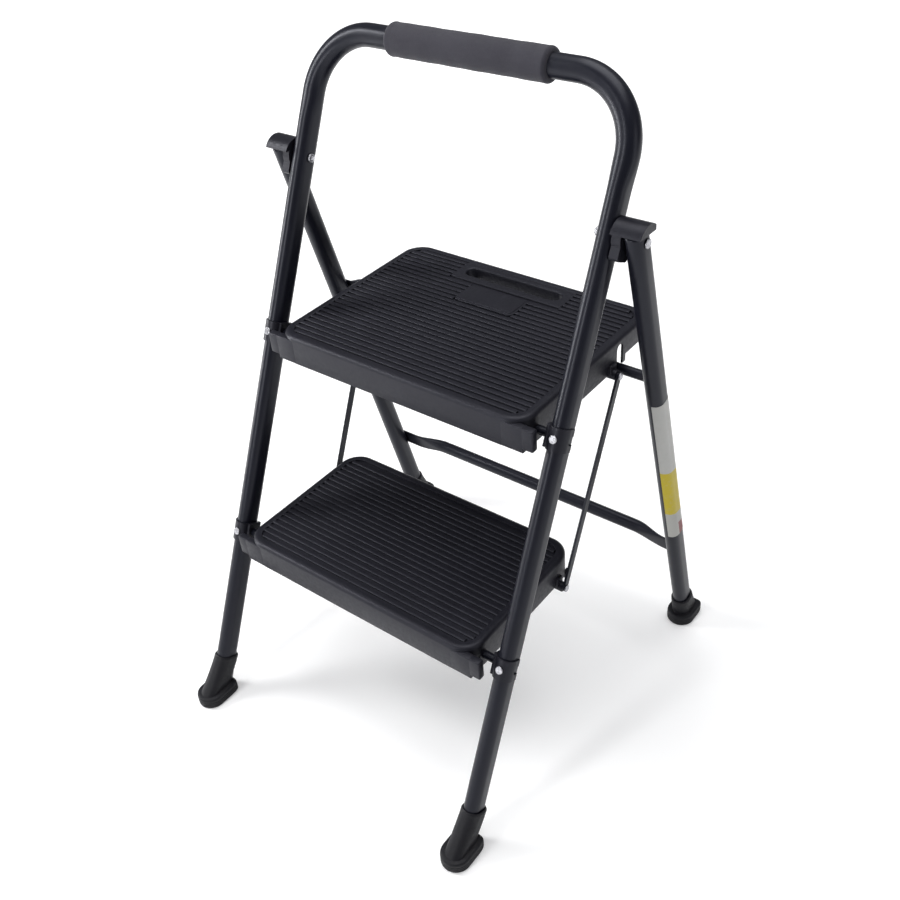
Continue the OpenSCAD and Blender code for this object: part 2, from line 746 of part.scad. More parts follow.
front_frame();
foam_grip();
front_foot(-1);  // front_foot_left
front_foot(1);  // front_foot_right
hinge_block(-1);  // hinge_block_left
hinge_block(1);  // hinge_block_right
hinge_bolts();
hinge_nuts();
clip(-1, lower_pivot_reach + step_pitch);  // upper_clip_left
clip(1, lower_pivot_reach + step_pitch);  // upper_clip_right
clip(-1, lower_pivot_reach);  // lower_clip_left
clip(1, lower_pivot_reach);  // lower_clip_right
clip_rivets();
pivot_rod(upper_pivot, lower_pivot_reach + step_pitch);  // upper_pivot_rod
pivot_rod(lower_pivot, lower_pivot_reach);  // lower_pivot_rod
top_tread();
lower_tread();
strut(-1);  // strut_left
strut(1);  // strut_right
strut_rivets(upper_pivot);  // upper_strut_rivets
strut_rivets(lower_pivot);  // lower_strut_rivets
rear_leg(-1);  // rear_leg_left
rear_leg(1);  // rear_leg_right
crossbar(upper_bar_drop, upper_bar_d, upper_flat_w, upper_flat_in, upper_change);  // upper_crossbar
crossbar(lower_bar_drop, lower_bar_d, lower_flat_w, lower_flat_in, lower_change);  // lower_crossbar
crossbar_rivets();
rear_foot(-1);  // rear_foot_left
rear_foot(1);  // rear_foot_right
blank_label();
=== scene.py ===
import json
import math

import bmesh
import bpy
from mathutils import Matrix, Vector


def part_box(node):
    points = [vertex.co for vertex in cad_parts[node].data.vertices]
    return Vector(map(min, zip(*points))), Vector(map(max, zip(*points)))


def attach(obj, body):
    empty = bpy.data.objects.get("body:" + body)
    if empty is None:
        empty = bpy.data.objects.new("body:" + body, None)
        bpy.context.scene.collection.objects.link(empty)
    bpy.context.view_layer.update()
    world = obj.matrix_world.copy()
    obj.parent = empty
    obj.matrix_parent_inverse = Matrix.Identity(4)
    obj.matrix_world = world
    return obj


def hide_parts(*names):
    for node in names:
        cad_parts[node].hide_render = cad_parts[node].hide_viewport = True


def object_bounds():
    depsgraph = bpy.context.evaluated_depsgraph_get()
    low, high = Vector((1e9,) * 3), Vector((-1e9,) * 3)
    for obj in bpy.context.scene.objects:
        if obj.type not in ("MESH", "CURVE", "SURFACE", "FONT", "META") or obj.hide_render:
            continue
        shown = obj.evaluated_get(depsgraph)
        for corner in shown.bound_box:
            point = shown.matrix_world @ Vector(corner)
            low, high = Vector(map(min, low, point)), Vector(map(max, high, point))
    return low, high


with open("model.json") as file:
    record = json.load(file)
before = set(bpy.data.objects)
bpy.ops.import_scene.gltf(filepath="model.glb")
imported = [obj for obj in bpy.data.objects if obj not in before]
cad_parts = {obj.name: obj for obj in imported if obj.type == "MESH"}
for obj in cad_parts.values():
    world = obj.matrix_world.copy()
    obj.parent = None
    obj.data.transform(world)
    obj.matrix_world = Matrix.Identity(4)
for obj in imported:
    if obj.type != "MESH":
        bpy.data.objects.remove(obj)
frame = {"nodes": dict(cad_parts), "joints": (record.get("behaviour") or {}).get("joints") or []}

cad_low, cad_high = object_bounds()
joints = {j["name"]: Vector(j["pos_m"]) for j in frame["joints"]}

# ---------------------------------------------------------------- sizes, as in the CAD, in metres

X = Vector((1, 0, 0))
FRONT_LEAN = math.radians(25)
FRONT_UP = Vector((0, math.sin(FRONT_LEAN), math.cos(FRONT_LEAN)))
FRONT_BACK = Vector((0, math.cos(FRONT_LEAN), -math.sin(FRONT_LEAN)))
HINGE_REACH = 0.709
HINGE = joints["rear_fold"]
FRONT_BASE = HINGE - FRONT_UP * HINGE_REACH
LEG_SPACING = 0.410
RAIL_SPACING = 0.401
RAIL_REACH = 0.849
RAIL_BEND = 0.070
RAIL_D = 0.025
LEG_W, LEG_DEPTH = 0.020, 0.0275
RAIL_STRAIGHT = RAIL_REACH - RAIL_BEND
RAIL_CHANGE = 0.032      # length over which the flattened leg tube turns round
FLAT_TOP = RAIL_STRAIGHT - RAIL_CHANGE
FRONT_TUBE_START = 0.012 # the tubes end inside their feet, this far above the floor

REAR_LEAN = math.radians(15)
REAR_DOWN = Vector((0, math.sin(REAR_LEAN), -math.cos(REAR_LEAN)))
REAR_BACK = Vector((0, math.cos(REAR_LEAN), math.sin(REAR_LEAN)))
REAR_SPACING = 0.475
REAR_HINGE_SPACING = 0.463
REAR_W, REAR_DEPTH = 0.020, 0.026
REAR_LENGTH = HINGE.z / math.cos(REAR_LEAN)
LEG_TOP = 0.010          # reach of the rear leg past the hinge
REAR_TUBE_END = 0.011
# drop from the hinge, diameter, width of the flat end, its reach in, length of the change
BARS = {"upper_crossbar": (0.218, 0.012, 0.016, 0.008, 0.012),
        "lower_crossbar": (0.531, 0.017, 0.025, 0.025, 0.050)}
BAR_BACK = 0.0225
BAR_FLAT_T, BAR_FLAT_OUT, BAR_SEAT = 0.003, 0.003, 0.00005
FOOT_W, FOOT_HEEL, SOLE_H = 0.037, 0.020, 0.016
FRONT_TOE, FRONT_COLLAR = 0.032, 0.060
REAR_TOE, REAR_COLLAR = 0.028, 0.048
GRIP_D, GRIP_LEN = 0.0355, 0.202


def front_x(s):
    return (LEG_SPACING - s / RAIL_STRAIGHT * (LEG_SPACING - RAIL_SPACING)) / 2


def rear_x(drop):
    return (REAR_HINGE_SPACING + drop / REAR_LENGTH * (REAR_SPACING - REAR_HINGE_SPACING)) / 2


def ease(t):
    t = min(max(t, 0.0), 1.0)
    return t * t * (3 - 2 * t)


def mix(a, b, t):
    return a + (b - a) * t


# ---------------------------------------------------------------- materials


class Nodes:
    """A few calls that keep the node graphs below short."""

    def __init__(self, name):
        self.material = bpy.data.materials.new(name)
        self.material.use_nodes = True
        self.tree = self.material.node_tree
        self.tree.nodes.clear()
        self.out = self.add("ShaderNodeOutputMaterial")
        self.bsdf = self.add("ShaderNodeBsdfPrincipled")
        self.link(self.bsdf.outputs[0], self.out.inputs["Surface"])
        self.place = self.add("ShaderNodeTexCoord").outputs["Object"]

    def add(self, kind, **values):
        node = self.tree.nodes.new(kind)
        for key, value in values.items():
            setattr(node, key, value)
        return node

    def link(self, a, b):
        self.tree.links.new(a, b)

    def noise(self, scale, detail=3.0, rough=0.55, stretch=None):
        node = self.add("ShaderNodeTexNoise")
        node.inputs["Scale"].default_value = scale
        node.inputs["Detail"].default_value = detail
        node.inputs["Roughness"].default_value = rough
        place = self.place
        if stretch:
            mapping = self.add("ShaderNodeMapping")
            mapping.inputs["Scale"].default_value = stretch
            self.link(place, mapping.inputs["Vector"])
            place = mapping.outputs[0]
        self.link(place, node.inputs["Vector"])
        return node.outputs["Fac"]

    def cells(self, scale):
        node = self.add("ShaderNodeTexVoronoi")
        node.inputs["Scale"].default_value = scale
        self.link(self.place, node.inputs["Vector"])
        return node.outputs["Distance"]

    def spread(self, value, low, high, at=(0.3, 0.7)):
        node = self.add("ShaderNodeMapRange")
        for key, number in zip(("From Min", "From Max", "To Min", "To Max"), (*at, low, high)):
            node.inputs[key].default_value = number
        self.link(value, node.inputs["Value"])
        return node.outputs[0]

    def blend(self, value, low, high):
        node = self.add("ShaderNodeMix", data_type="RGBA")
        if isinstance(value, float):
            node.inputs["Factor"].default_value = value
        else:
            self.link(value, node.inputs["Factor"])
        for key, colour in (("A", low), ("B", high)):
            socket = [s for s in node.inputs if s.name == key and s.type == "RGBA"][0]
            if isinstance(colour, tuple):
                socket.default_value = (*colour, 1)
            else:
                self.link(colour, socket)
        return [s for s in node.outputs if s.type == "RGBA"][0]

    def bump(self, height, depth, strength=1.0, below=None):
        node = self.add("ShaderNodeBump")
        node.inputs["Distance"].default_value = depth
        node.inputs["Strength"].default_value = strength
        self.link(height, node.inputs["Height"])
        if below:
            self.link(below, node.inputs["Normal"])
        return node.outputs[0]

    def finish(self, colour, rough, normal, **sockets):
        self.link(colour, self.bsdf.inputs["Base Color"])
        self.link(rough, self.bsdf.inputs["Roughness"])
        self.link(normal, self.bsdf.inputs["Normal"])
        for key, value in sockets.items():
            self.bsdf.inputs[key.replace("_", " ")].default_value = value
        return self.material


def painted_tube():
    """Semi-gloss black powder coat: fine orange peel, faint dust and rubbed patches."""
    n = Nodes("black_powder_coat")
    wide, fine, peel = n.noise(9), n.noise(140, 4), n.noise(900, 2)
    colour = n.blend(n.spread(wide, 0, 1), (0.0046, 0.0050, 0.0088), (0.0066, 0.0070, 0.0118))
    dust = n.spread(n.noise(60, 6, 0.7), 0, 0.16, (0.66, 0.84))
    colour = n.blend(dust, colour, (0.018, 0.018, 0.024))
    rough = n.spread(fine, 0.29, 0.35)
    normal = n.bump(peel, 0.00002, 0.05, n.bump(wide, 0.0003, 0.06))
    return n.finish(colour, rough, normal, Specular_IOR_Level=0.26,
                    Specular_Tint=(0.88, 0.90, 1.0, 1.0))


def moulded(name, low, high, rough, grain=2200, spec=0.26):
    """Moulded plastic with a spark-eroded grain, flow marks and light scuffs."""
    n = Nodes(name)
    wide = n.noise(7, 3)
    colour = n.blend(n.spread(wide, 0, 1), low, high)
    scuff = n.spread(n.noise(55, 5, 0.65, (1.0, 0.25, 1.0)), 0, 0.5, (0.60, 0.78))
    pale = tuple(c * 1.9 for c in high)
    colour = n.blend(scuff, colour, pale)
    roughness = n.spread(n.noise(220, 4), rough - 0.06, rough + 0.07)
    normal = n.bump(n.noise(grain, 2), 0.00005, 0.6, n.bump(wide, 0.0005, 0.2))
    return n.finish(colour, roughness, normal, Specular_IOR_Level=spec,
                    Specular_Tint=(0.88, 0.89, 1.0, 1.0))


def foam():
    """Closed-cell foam sleeve: dense pores with painted shade in them, no shine, a soft sheen at
    its edges.
    """
    n = Nodes("foam_sleeve")
    pores, wide = n.cells(1500), n.noise(14, 4)
    colour = n.blend(n.spread(wide, 0, 1), (0.021, 0.020, 0.028), (0.033, 0.032, 0.042))
    # painted shade: the colour darkens toward each pore's centre, standing in for the shade inside
    # the pores
    colour = n.blend(n.spread(pores, 0.35, 0, (0.0, 0.5)), colour, (0.012, 0.012, 0.015))
    rough = n.spread(n.noise(300, 3), 0.80, 0.93)
    normal = n.bump(pores, 0.00018, 0.7, n.bump(wide, 0.0012, 0.3))
    return n.finish(colour, rough, normal, Specular_IOR_Level=0.20, Sheen_Weight=0.10,
                    Sheen_Roughness=0.6)


def rubber():
    """Dull rubber with floor dust near the sole."""
    n = Nodes("foot_rubber")
    wide = n.noise(30, 4)
    colour = n.blend(n.spread(wide, 0, 1), (0.0040, 0.0040, 0.0062), (0.0065, 0.0065, 0.0092))
    split = n.add("ShaderNodeSeparateXYZ")
    n.link(n.place, split.inputs[0])
    low = n.spread(split.outputs[2], 1, 0, (0.0, 0.020))
    dusty = n.add("ShaderNodeMath", operation="MULTIPLY")
    n.link(low, dusty.inputs[0])
    n.link(n.spread(n.noise(120, 5, 0.7), 0, 0.5, (0.45, 0.75)), dusty.inputs[1])
    colour = n.blend(dusty.outputs[0], colour, (0.030, 0.030, 0.031))
    rough = n.spread(n.noise(260, 3), 0.46, 0.62)
    normal = n.bump(n.noise(1400, 3), 0.00008, 0.6)
    return n.finish(colour, rough, normal, Specular_IOR_Level=0.24)


def bright_metal():
    """Zinc-plated rivet: turned grain, small nicks, slightly dull."""
    n = Nodes("zinc_rivet")
    wide, fine = n.noise(400, 3), n.noise(2600, 3)
    colour = n.blend(n.spread(wide, 0, 1), (0.30, 0.30, 0.32), (0.55, 0.55, 0.58))
    rough = n.spread(fine, 0.20, 0.42)
    normal = n.bump(fine, 0.00004, 0.6, n.bump(wide, 0.0001, 0.5))
    return n.finish(colour, rough, normal, Metallic=1.0)


def sticker():
    """A blank printed sticker: pale, a yellow band, pale again, and a small dark red patch."""
    n = Nodes("blank_sticker")
    low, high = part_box("blank_label")
    split = n.add("ShaderNodeSeparateXYZ")
    n.link(n.place, split.inputs[0])
    height = n.spread(split.outputs[2], 0, 1, (low.z, high.z))
    ramp = n.add("ShaderNodeValToRGB")
    ramp.color_ramp.interpolation = "CONSTANT"
    pale, paper, yellow = (0.33, 0.33, 0.31), (0.38, 0.38, 0.365), (0.43, 0.34, 0.010)
    bands = ((0.0, pale), (0.19, yellow), (0.51, paper))
    for element, (at, colour) in zip(ramp.color_ramp.elements, bands):
        element.position, element.color = at, (*colour, 1)
    ramp.color_ramp.elements.new(bands[2][0]).color = (*bands[2][1], 1)
    n.link(height, ramp.inputs[0])
    # the patch lies at the lower rear corner, measured straight back from the leg's line
    slope = n.add("ShaderNodeMath", operation="MULTIPLY_ADD")
    n.link(split.outputs[2], slope.inputs[0])
    slope.inputs[1].default_value = math.tan(REAR_LEAN)
    n.link(split.outputs[1], slope.inputs[2])
    middle_y = HINGE.y + HINGE.z * math.tan(REAR_LEAN)
    behind = n.spread(slope.outputs[0], 0, 1, (middle_y - 0.0030, middle_y - 0.0026))
    below = n.spread(height, 1, 0, (0.105, 0.110))
    patch = n.add("ShaderNodeMath", operation="MULTIPLY")
    n.link(behind, patch.inputs[0])
    n.link(below, patch.inputs[1])
    colour = n.blend(patch.outputs[0], ramp.outputs[0], (0.16, 0.022, 0.022))
    wear = n.spread(n.noise(180, 5, 0.7), 0, 0.35, (0.50, 0.80))
    colour = n.blend(wear, colour, (0.30, 0.295, 0.28))
    rough = n.spread(n.noise(90, 3), 0.32, 0.48)
    normal = n.bump(n.noise(70, 4), 0.0003, 0.35)
    return n.finish(colour, rough, normal, Specular_IOR_Level=0.3)


TUBE = painted_tube()
TREAD = moulded("tread_plastic", (0.0070, 0.0070, 0.0105), (0.0115, 0.0115, 0.0160), 0.42)
BLOCK = moulded("hinge_plastic", (0.0060, 0.0060, 0.0090), (0.0100, 0.0100, 0.0140), 0.38, 1800)
FOAM = foam()
RUBBER = rubber()
ZINC = bright_metal()
STICKER = sticker()
DARK = moulded("dark_rivet", (0.010, 0.010, 0.013), (0.016, 0.016, 0.020), 0.34, 1500, 0.35)

# ---------------------------------------------------------------- building


def finish_piece(mesh, name, body, material, slot, *nodes, sharp=35):
    piece = bpy.data.objects.new(name, mesh)
    bpy.context.scene.collection.objects.link(piece)
    mesh.materials.clear()
    mesh.materials.append(material)
    for polygon in mesh.polygons:
        polygon.use_smooth = True
        polygon.material_index = 0
    mesh.set_sharp_from_angle(angle=math.radians(sharp))
    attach(piece, body)
    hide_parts(*nodes)
    return piece


def loft(name, runs, body, material, slot, *nodes, sharp=35):
    """One mesh from runs of equal rings, each run closed at both ends."""
    verts, faces = [], []
    for rings in runs:
        start, n = len(verts), len(rings[0])
        for ring in rings:
            verts.extend(ring)
        for r in range(len(rings) - 1):
            for i in range(n):
                j = (i + 1) % n
                a, b = start + r * n, start + (r + 1) * n
                faces.append((a + i, a + j, b + j, b + i))
        faces.append(tuple(start + i for i in reversed(range(n))))
        faces.append(tuple(start + (len(rings) - 1) * n + i for i in range(n)))
    mesh = bpy.data.meshes.new(name)
    mesh.from_pydata([tuple(v) for v in verts], [], faces)
    made = bmesh.new()
    made.from_mesh(mesh)
    bmesh.ops.recalc_face_normals(made, faces=made.faces)
    made.to_mesh(mesh)
    made.free()
    return finish_piece(mesh, name, body, material, slot, *nodes, sharp=sharp)


def oval(w, depth, n=56):
    """Points (across, along) of a flattened tube's outline; a circle if w = depth."""
    points = []
    for i in range(n):
        a = (i + 0.5) * 2 * math.pi / n
        flat = math.copysign((depth - w) / 2, math.sin(a))
        points.append((w / 2 * math.cos(a), w / 2 * math.sin(a) + flat))
    return points


def squircle(half_a, half_b, power, n=56):
    points = []
    for i in range(n):
        a = (i + 0.5) * 2 * math.pi / n
        c, s = math.cos(a), math.sin(a)
        points.append((half_a * math.copysign(abs(c) ** (2 / power), c),
                       half_b * math.copysign(abs(s) ** (2 / power), s)))
    return points


def placed(points, centre, across, along):
    return [centre + across * a + along * b for a, b in points]


def soften(name, body, material, slot, node, width, segments=3, angle=28):
    """The CAD node with its hard edges rounded."""
    mesh = frame["nodes"][node].data.copy()
    made = bmesh.new()
    made.from_mesh(mesh)
    bmesh.ops.remove_doubles(made, verts=made.verts, dist=1e-6)
    bmesh.ops.dissolve_limit(made, angle_limit=math.radians(0.6), verts=made.verts,
                             edges=made.edges)
    made.to_mesh(mesh)
    made.free()
    while mesh.attributes.get("custom_normal"):
        mesh.attributes.remove(mesh.attributes["custom_normal"])
    hard = bpy.data.objects.new(name + "_rough", mesh)
    bpy.context.scene.collection.objects.link(hard)
    for polygon in mesh.polygons:
        polygon.use_smooth = True
    bevel = hard.modifiers.new("edges", "BEVEL")
    bevel.limit_method, bevel.angle_limit = "ANGLE", math.radians(angle)
    bevel.width, bevel.segments = width, segments
    bevel.use_clamp_overlap = True
    bevel.miter_outer = "MITER_ARC"
    weighted = hard.modifiers.new("normals", "WEIGHTED_NORMAL")
    weighted.keep_sharp = True
    bpy.context.view_layer.update()
    made = hard.evaluated_get(bpy.context.evaluated_depsgraph_get())
    result = bpy.data.meshes.new_from_object(made)
    bpy.data.objects.remove(hard)
    finish_piece(result, name, body, material, slot, node, sharp=50)


# ---------------------------------------------------------------- front frame


def front_point(x, s):
    return FRONT_BASE + X * x + FRONT_UP * s


def half_hoop():
    """Centre points and sections from the left foot to the middle of the handrail."""
    points = []
    for i in range(13):
        s = mix(FRONT_TUBE_START, FLAT_TOP, i / 12)
        points.append((front_point(-front_x(s), s), LEG_W, LEG_DEPTH))
    for i in range(1, 13):
        s, t = mix(FLAT_TOP, RAIL_STRAIGHT, i / 12), ease(i / 12)
        points.append((front_point(-front_x(s), s), mix(LEG_W, RAIL_D, t),
                       mix(LEG_DEPTH, RAIL_D, t)))
    turn = RAIL_SPACING / 2 - RAIL_BEND
    for i in range(1, 33):
        a = math.radians(90) * i / 32
        points.append((front_point(-turn - RAIL_BEND * math.cos(a),
                                   RAIL_STRAIGHT + RAIL_BEND * math.sin(a)), RAIL_D, RAIL_D))
    for i in range(1, 5):
        points.append((front_point(-turn * (1 - i / 4), RAIL_REACH), RAIL_D, RAIL_D))
    return points


def build_hoop():
    left = half_hoop()
    right = [(Vector((-p.x, p.y, p.z)), w, d) for p, w, d in reversed(left[:-1])]
    path, rings = left + right, []
    for i, (point, w, depth) in enumerate(path):
        before, after = path[max(i - 1, 0)][0], path[min(i + 1, len(path) - 1)][0]
        across = FRONT_BACK.cross((after - before).normalized())
        rings.append(placed(oval(w, depth), point, across, FRONT_BACK))
    loft("front_tube", [rings], "front", TUBE, "black_tube", "front_frame", sharp=60)


def build_grip():
    """Foam sleeve with rolled ends and the slight waves of stretched foam."""
    rings, steps = [], 64
    half, lip = GRIP_LEN / 2, 0.0045
    profile = [(-half, RAIL_D / 2 + 0.0002), (-half, GRIP_D / 2 - lip)]
    for i in range(1, 9):
        a = math.radians(90) * i / 8
        profile.append((-half + lip * (1 - math.cos(a)), GRIP_D / 2 - lip * (1 - math.sin(a))))
    for i in range(1, steps):
        x = mix(-half + lip, half - lip, i / steps)
        wave = 0.00022 * math.sin(x * 61 + 0.8) * math.sin(x * 143)
        profile.append((x, GRIP_D / 2 - 0.0003 + wave))
    profile += [(-x, r) for x, r in reversed(profile[:10])]
    for x, r in profile:
        rings.append(placed(oval(2 * r, 2 * r, 96), front_point(x, RAIL_REACH), FRONT_UP,
                            FRONT_BACK))
    grip = loft("grip_sleeve", [rings], "front", FOAM, "foam", "foam_grip", sharp=60)


# ---------------------------------------------------------------- feet


def sole_ring(inset, toe, n=80):
    """Outline with a round toe towards +b and a square heel; (across, towards the toe)."""
    points, r = [], FOOT_W / 2 - inset
    centre = toe - FOOT_W / 2
    for i in range(n):
        a = (i + 0.5) * 2 * math.pi / n
        c, s = math.cos(a), math.sin(a)
        if s >= 0:
            points.append((r * c, centre + r * s))
        else:
            back = centre + FOOT_HEEL - inset
            points.append((r * math.copysign(abs(c) ** 0.30, c), centre - back * abs(s) ** 0.30))
    return points


def build_foot(name, body, base, up, back, w, depth, toe, collar):
    """A grooved sole and a tapered boot; base is where the leg meets the floor."""
    ahead, rise, rim = Vector((0, -1, 0)), Vector((0, 0, 1)), collar - 0.003
    # (height, inset) up the edge of the sole, with three grooves
    sides = [(0, 0.0022), (0.0006, 0.0008), (0.0016, 0.0002)]
    for groove in (0.0035, 0.0065, 0.0095):
        sides += [(groove, 0), (groove + 0.0004, 0.0006), (groove + 0.0009, 0.0006),
                  (groove + 0.0013, 0)]
    sides += [(0.0130, 0.0001), (0.0146, 0.0005), (0.0156, 0.0014), (SOLE_H, 0.0026),
              (SOLE_H, 0.0058)]
    rings = [placed(sole_ring(inset, toe), base + rise * z, X, ahead) for z, inset in sides]
    lower = placed(sole_ring(0.0064, toe), base + rise * (SOLE_H + 0.0006), X, ahead)
    facing = back * (1 if back.dot(ahead) > 0 else -1)
    upper = placed(oval(w + 0.006, depth + 0.005, 80), base + up * rim, X, facing)
    for i in range(19):
        t = i / 18
        ring = []
        for a, b in zip(lower, upper):
            p = a + (b - a) * (1 - (1 - t) ** 1.12)
            p.z = mix(a.z, b.z, t)
            ring.append(p)
        rings.append(ring)
    lip = [(0.0004, 0.0008), (0.0016, 0.0015), (0.0024, 0.0021), (0.0024, 0.0032), (0, 0.0048)]
    for climb, inset in lip:
        rings.append(placed(oval(w + 0.0076 - 2 * inset, depth + 0.0066 - 2 * inset, 80),
                            base + up * (rim + climb), X, facing))
    loft(name + "_boot", [rings], body, RUBBER, "foot_rubber", name, sharp=45)


# ---------------------------------------------------------------- rear frame


def rear_point(side, drop, back=0.0):
    return HINGE + X * (side * rear_x(drop)) + REAR_DOWN * drop + REAR_BACK * back


def build_rear_leg(name, side):
    """Flattened tube with a rounded top end."""
    rings = []
    for narrower, down in ((0.003, 0.0), (0.0008, 0.0006)):
        rings.append(placed(oval(REAR_W - narrower, REAR_DEPTH - narrower),
                            rear_point(side, -LEG_TOP + down), X, REAR_BACK))
    for i in range(15):
        drop = mix(-LEG_TOP + 0.002, REAR_LENGTH - REAR_TUBE_END, i / 14)
        rings.append(placed(oval(REAR_W, REAR_DEPTH), rear_point(side, drop), X, REAR_BACK))
    loft(name + "_tube", [rings], "rear_frame", TUBE, "black_tube", name, sharp=60)


def build_bar(name, drop, d, flat_w, flat_in, change):
    """Round tube, pressed flat at its ends."""
    flat_x = rear_x(drop) - flat_in
    end, round_x = rear_x(drop) + BAR_FLAT_OUT, flat_x - change
    flat_back = REAR_DEPTH / 2 + BAR_SEAT + BAR_FLAT_T / 2
    stations = [(round_x * i / 6, 0.0, 1.0) for i in range(7)]
    stations += [(mix(round_x, flat_x, i / 18), ease(i / 18), 1.0) for i in range(1, 19)]
    stations += [(mix(flat_x, end - 0.002, i / 4), 1.0, 1.0) for i in range(1, 5)]
    stations += [(end - 0.0007, 1.0, 0.93), (end, 1.0, 0.80)]
    stations = [(-x, t, k) for x, t, k in reversed(stations[1:])] + stations
    rings = []
    for x, t, k in stations:
        section = squircle(mix(d, flat_w, t) / 2 * k, mix(d, BAR_FLAT_T, t) / 2 * k,
                           mix(2, 5, t))
        centre = HINGE + X * x + REAR_DOWN * drop + REAR_BACK * mix(BAR_BACK, flat_back, t)
        rings.append(placed(section, centre, REAR_DOWN, REAR_BACK))
    loft(name + "_tube", [rings], "rear_frame", TUBE, "black_tube", name, sharp=60)


build_hoop()
build_grip()
for side, word in ((-1, "left"), (1, "right")):
    build_foot("front_foot_" + word, "front", FRONT_BASE + X * (side * LEG_SPACING / 2),
               FRONT_UP, FRONT_BACK, LEG_W, LEG_DEPTH, FRONT_TOE, FRONT_COLLAR)
    build_foot("rear_foot_" + word, "rear_frame", rear_point(side, REAR_LENGTH),
               -REAR_DOWN, REAR_BACK, REAR_W, REAR_DEPTH, REAR_TOE, REAR_COLLAR)
    build_rear_leg("rear_leg_" + word, side)
for bar, sizes in BARS.items():
    build_bar(bar, *sizes)

# ---------------------------------------------------------------- treads

TREAD_HALF, TREAD_H, TREAD_R = 0.174, 0.036, 0.028
TREAD_TOP, TREAD_FRONT = 0.021, -0.027
TREADS = {"top_tread": ("top_step", 0.264), "lower_tread": ("lower_step", 0.209)}
EDGE_IN, EDGE_DOWN = 0.006, 0.005
PLATE, SKIRT, WEB = 0.0042, 0.0026, 0.0024
RECESS_IN, RIB_DEPTH = 0.011, 0.0022
RIB_PITCH, RIB_HALF, FIRST_GROOVE = 0.0086, 0.0026, 0.0125
SLOT_HALF, SLOT_R, SLOT_BACK, SLOT_DEEP = 0.0685, 0.0095, 0.029, 0.024
SMOOTH_HALF, SMOOTH_AHEAD = 0.080, 0.021
PAD_HALF, PAD_DEEP, PAD_BACK = 0.039, 0.0165, 0.075
STRUT_BACK, STRUT_BELOW = 0.147, 0.015
NOTCH_R, NOTCH_TOP, HOOK, REAR_LIFT = 0.0065, 0.013, 0.006, 0.009
RIB_NOSE, SLIVER = 0.0013, 0.00005
PAD_BORDER, PAD_RISE, PAD_CORNER = 0.003, 0.0006, 0.003
WEB_PITCH, WEB_FIRST, WEB_IN, WEB_EDGE = 0.050, -0.125, 0.001, 0.0004
ROD_BOSS_R, LUG_R, LUG_IN = 0.0085, 0.006, 0.168
WING_T = 0.009           # the front corners' wings beside the clips
SKIRT_Z = TREAD_TOP - TREAD_H
RECESS_Z = TREAD_TOP - RIB_DEPTH
BAR = (HINGE + REAR_DOWN * BARS["upper_crossbar"][0] + REAR_BACK * BAR_BACK
       - joints["top_step_tilt"])    # the upper crossbar, seen from the top tread's pivot
LIP_Y = BAR.y + NOTCH_R + HOOK


class Shell:
    """Gathers the surfaces of one moulding into a single mesh."""

    def __init__(self):
        self.bm = bmesh.new()

    def ring(self, points):
        return [self.bm.verts.new(p) for p in points]

    def join(self, a, b):
        n = len(a)
        for i in range(n):
            self.bm.faces.new((a[i], a[(i + 1) % n], b[(i + 1) % n], b[i]))

    def fill(self, *rings):
        """A flat face inside the first ring and outside the others."""
        edges = []
        for ring in rings:
            for i in range(len(ring)):
                pair = (ring[i], ring[(i + 1) % len(ring)])
                edges.append(self.bm.edges.get(pair) or self.bm.edges.new(pair))
        bmesh.ops.triangle_fill(self.bm, edges=edges, use_beauty=True, normal=(0, 0, 1))

    def stack(self, outlines, closed=True):
        rings = [self.ring(o) for o in outlines]
        for a, b in zip(rings, rings[1:]):
            self.join(a, b)
        if closed:
            self.bm.faces.new(list(reversed(rings[0])))
            self.bm.faces.new(rings[-1])
        return rings

    def block(self, x, y, z, radius):
        """Box with rounded edges, between pairs of limits."""
        made = bmesh.ops.create_cube(self.bm, size=1)["verts"]
        for v in made:
            v.co = Vector(((x[0] + x[1]) / 2 + v.co.x * (x[1] - x[0]),
                           (y[0] + y[1]) / 2 + v.co.y * (y[1] - y[0]),
                           (z[0] + z[1]) / 2 + v.co.z * (z[1] - z[0])))
        edges = list(dict.fromkeys(e for v in made for e in v.link_edges))
        bmesh.ops.bevel(self.bm, geom=edges, offset=radius, segments=3, profile=0.5,
                        affect="EDGES", clamp_overlap=True)


def tread_outline(rear, inset, height, stations):
    """Rounded rectangle; height is a number or a function of (x, y)."""
    r, half = TREAD_R - inset, TREAD_HALF
    corners = ((half - TREAD_R, rear - TREAD_R, 0), (TREAD_R - half, rear - TREAD_R, 90),
               (TREAD_R - half, TREAD_FRONT + TREAD_R, 180),
               (half - TREAD_R, TREAD_FRONT + TREAD_R, 270))
    flat, points = [], []
    right = [(half - inset, y) for y in stations]
    left = [(inset - half, y) for y in reversed(stations)]
    across = [(TREAD_HALF - TREAD_R) * k / 4 for k in (3, 2, 1, 0, -1, -2, -3)]
    for (cx, cy, start), side in zip(corners, (
            [(x, rear - inset) for x in across], left,
            [(-x, TREAD_FRONT + inset) for x in across], right)):
        for k in range(13):
            a = math.radians(start + 90 * k / 12)
            flat.append((cx + r * math.cos(a), cy + r * math.sin(a)))
        flat.extend(side)
    for x, y in flat:
        points.append((x, y, height(x, y) if callable(height) else height))
    return points


def slot_outline(rear, grow, z, n=32):
    points, r, half = [], SLOT_R + grow, SLOT_HALF - SLOT_R
    for start, x in ((-90, half), (90, -half)):
        for k in range(n + 1):
            a = math.radians(start + 180 * k / n)
            points.append((x + r * math.cos(a), rear - SLOT_BACK + r * math.sin(a), z))
    return points


def plain_outline(x0, x1, y0, y1, r, z, n=6):
    points = []
    for cx, cy, start in ((x1 - r, y1 - r, 0), (x0 + r, y1 - r, 90), (x0 + r, y0 + r, 180),
                          (x1 - r, y0 + r, 270)):
        for k in range(n + 1):
            a = math.radians(start + 90 * k / n)
            points.append((cx + r * math.cos(a), cy + r * math.sin(a), z))
    return points


